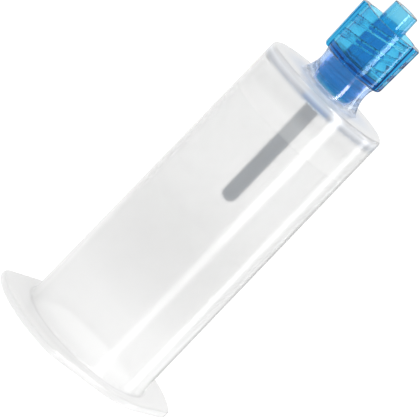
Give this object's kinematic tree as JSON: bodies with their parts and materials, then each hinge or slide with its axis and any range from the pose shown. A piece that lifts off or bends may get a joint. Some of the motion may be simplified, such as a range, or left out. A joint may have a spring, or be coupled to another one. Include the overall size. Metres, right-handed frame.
{
  "type": "blood collection tube holder",
  "caption": "Clear single-use tube holder with finger flange, blue male luer-lock adapter and a rubber-sleeved rear needle.",
  "frame": {"origin": "centre of the open flange face, on the barrel's axis, which is the bottom of the part when it stands on its flange", "axes": "+Z along the barrel's axis to the luer tip; the two finger wings lie along X"},
  "size_m": [0.0308, 0.0254, 0.065],
  "materials": {
    "holder": "frosted clear moulded polypropylene, satin band near the front",
    "adapter": "transparent blue moulded plastic, polished",
    "cannula": "drawn stainless steel tube",
    "adhesive": "cured clear adhesive",
    "sleeve": "matt grey rubber"
  },
  "bodies": {
    "holder": {"tube_holder": "holder", "luer_adapter": "adapter", "rear_cannula": "cannula", "cannula_adhesive": "adhesive", "sleeve_cuff": "sleeve", "sleeve_wall": "sleeve"},
    "sleeve_tip": {"sleeve_tip": "sleeve"}
  },
  "joints": [
    {"name": "sleeve_push", "type": "slide", "parent": "holder", "child": "sleeve_tip", "axis": [0, 0, 1], "range_m": [0, 0.01], "stiffness_N_per_m": 60, "deforming": ["sleeve_wall"]}
  ]
}
